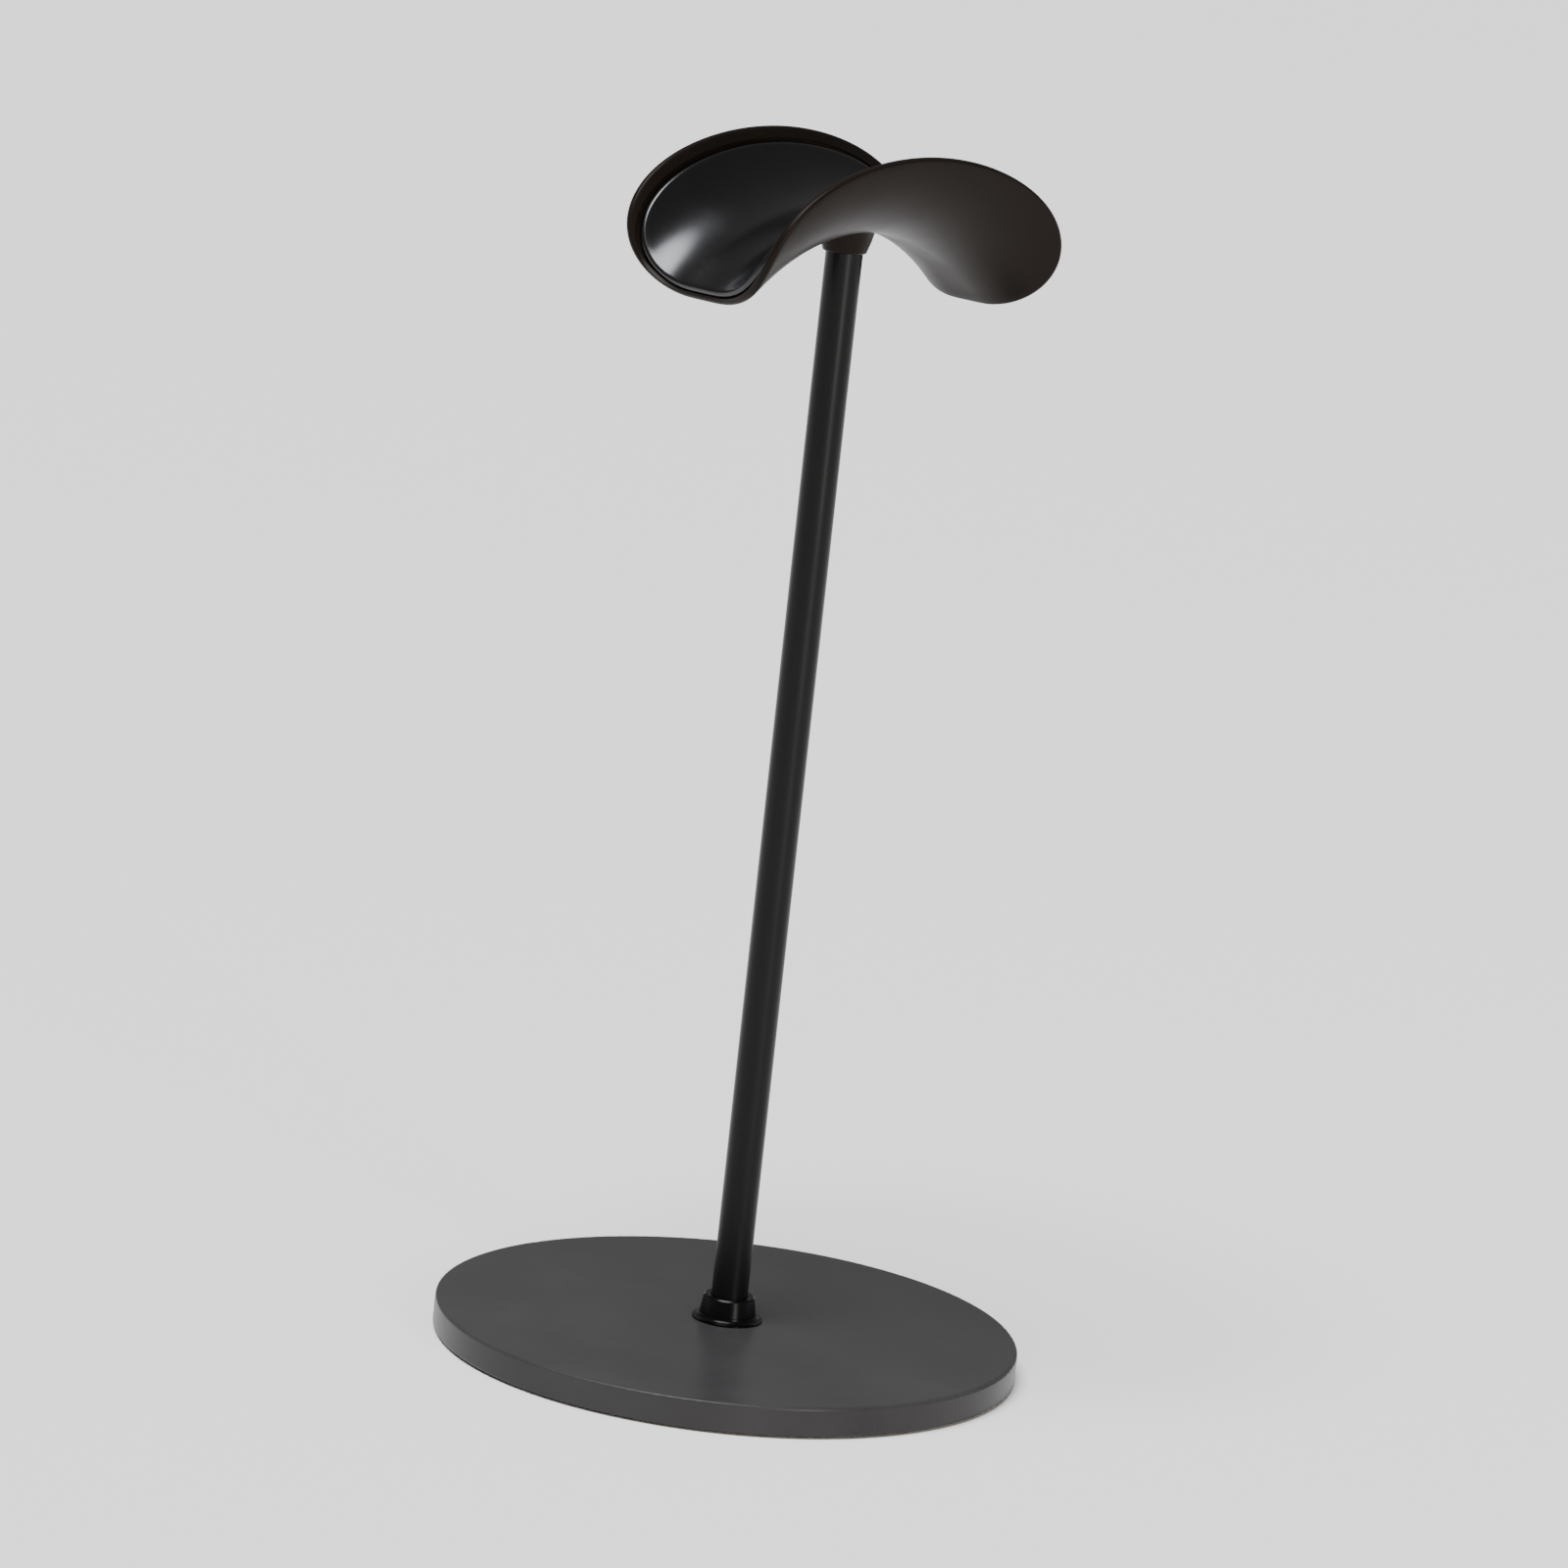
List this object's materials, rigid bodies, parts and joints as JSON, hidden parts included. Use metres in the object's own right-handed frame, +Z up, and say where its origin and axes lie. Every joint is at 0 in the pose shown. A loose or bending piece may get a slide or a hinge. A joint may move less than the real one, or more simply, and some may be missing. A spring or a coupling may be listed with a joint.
{
  "type": "saddle display stand",
  "caption": "Weighted round base with a slim round pole and a padded saddle head, for hanging a headset or eyewear on display.",
  "frame": {"origin": "centre of the face the stand rests on, on the pole's axis", "axes": "+Z up along the pole; the saddle droops towards +X and -X and its wings rise at +Y and -Y"},
  "size_m": [0.12, 0.12, 0.249],
  "materials": {
    "base_coat": "satin",
    "pole_coat": "satin",
    "collar_gloss": "gloss",
    "saddle_shell": "satin",
    "saddle_pad": "smooth",
    "foot_pad": "matte",
    "zinc_steel": "zinc plated",
    "brass": "turned"
  },
  "bodies": {
    "root": {"base_plate": "base_coat", "anti_slip_pad": "foot_pad", "base_screw": "zinc_steel", "base_washer": "zinc_steel", "foot_collar": "collar_gloss", "pole": "pole_coat", "lower_insert": "brass", "upper_insert": "brass", "saddle_shell": "saddle_shell", "saddle_pad": "saddle_pad", "head_screw": "zinc_steel"}
  },
  "joints": []
}
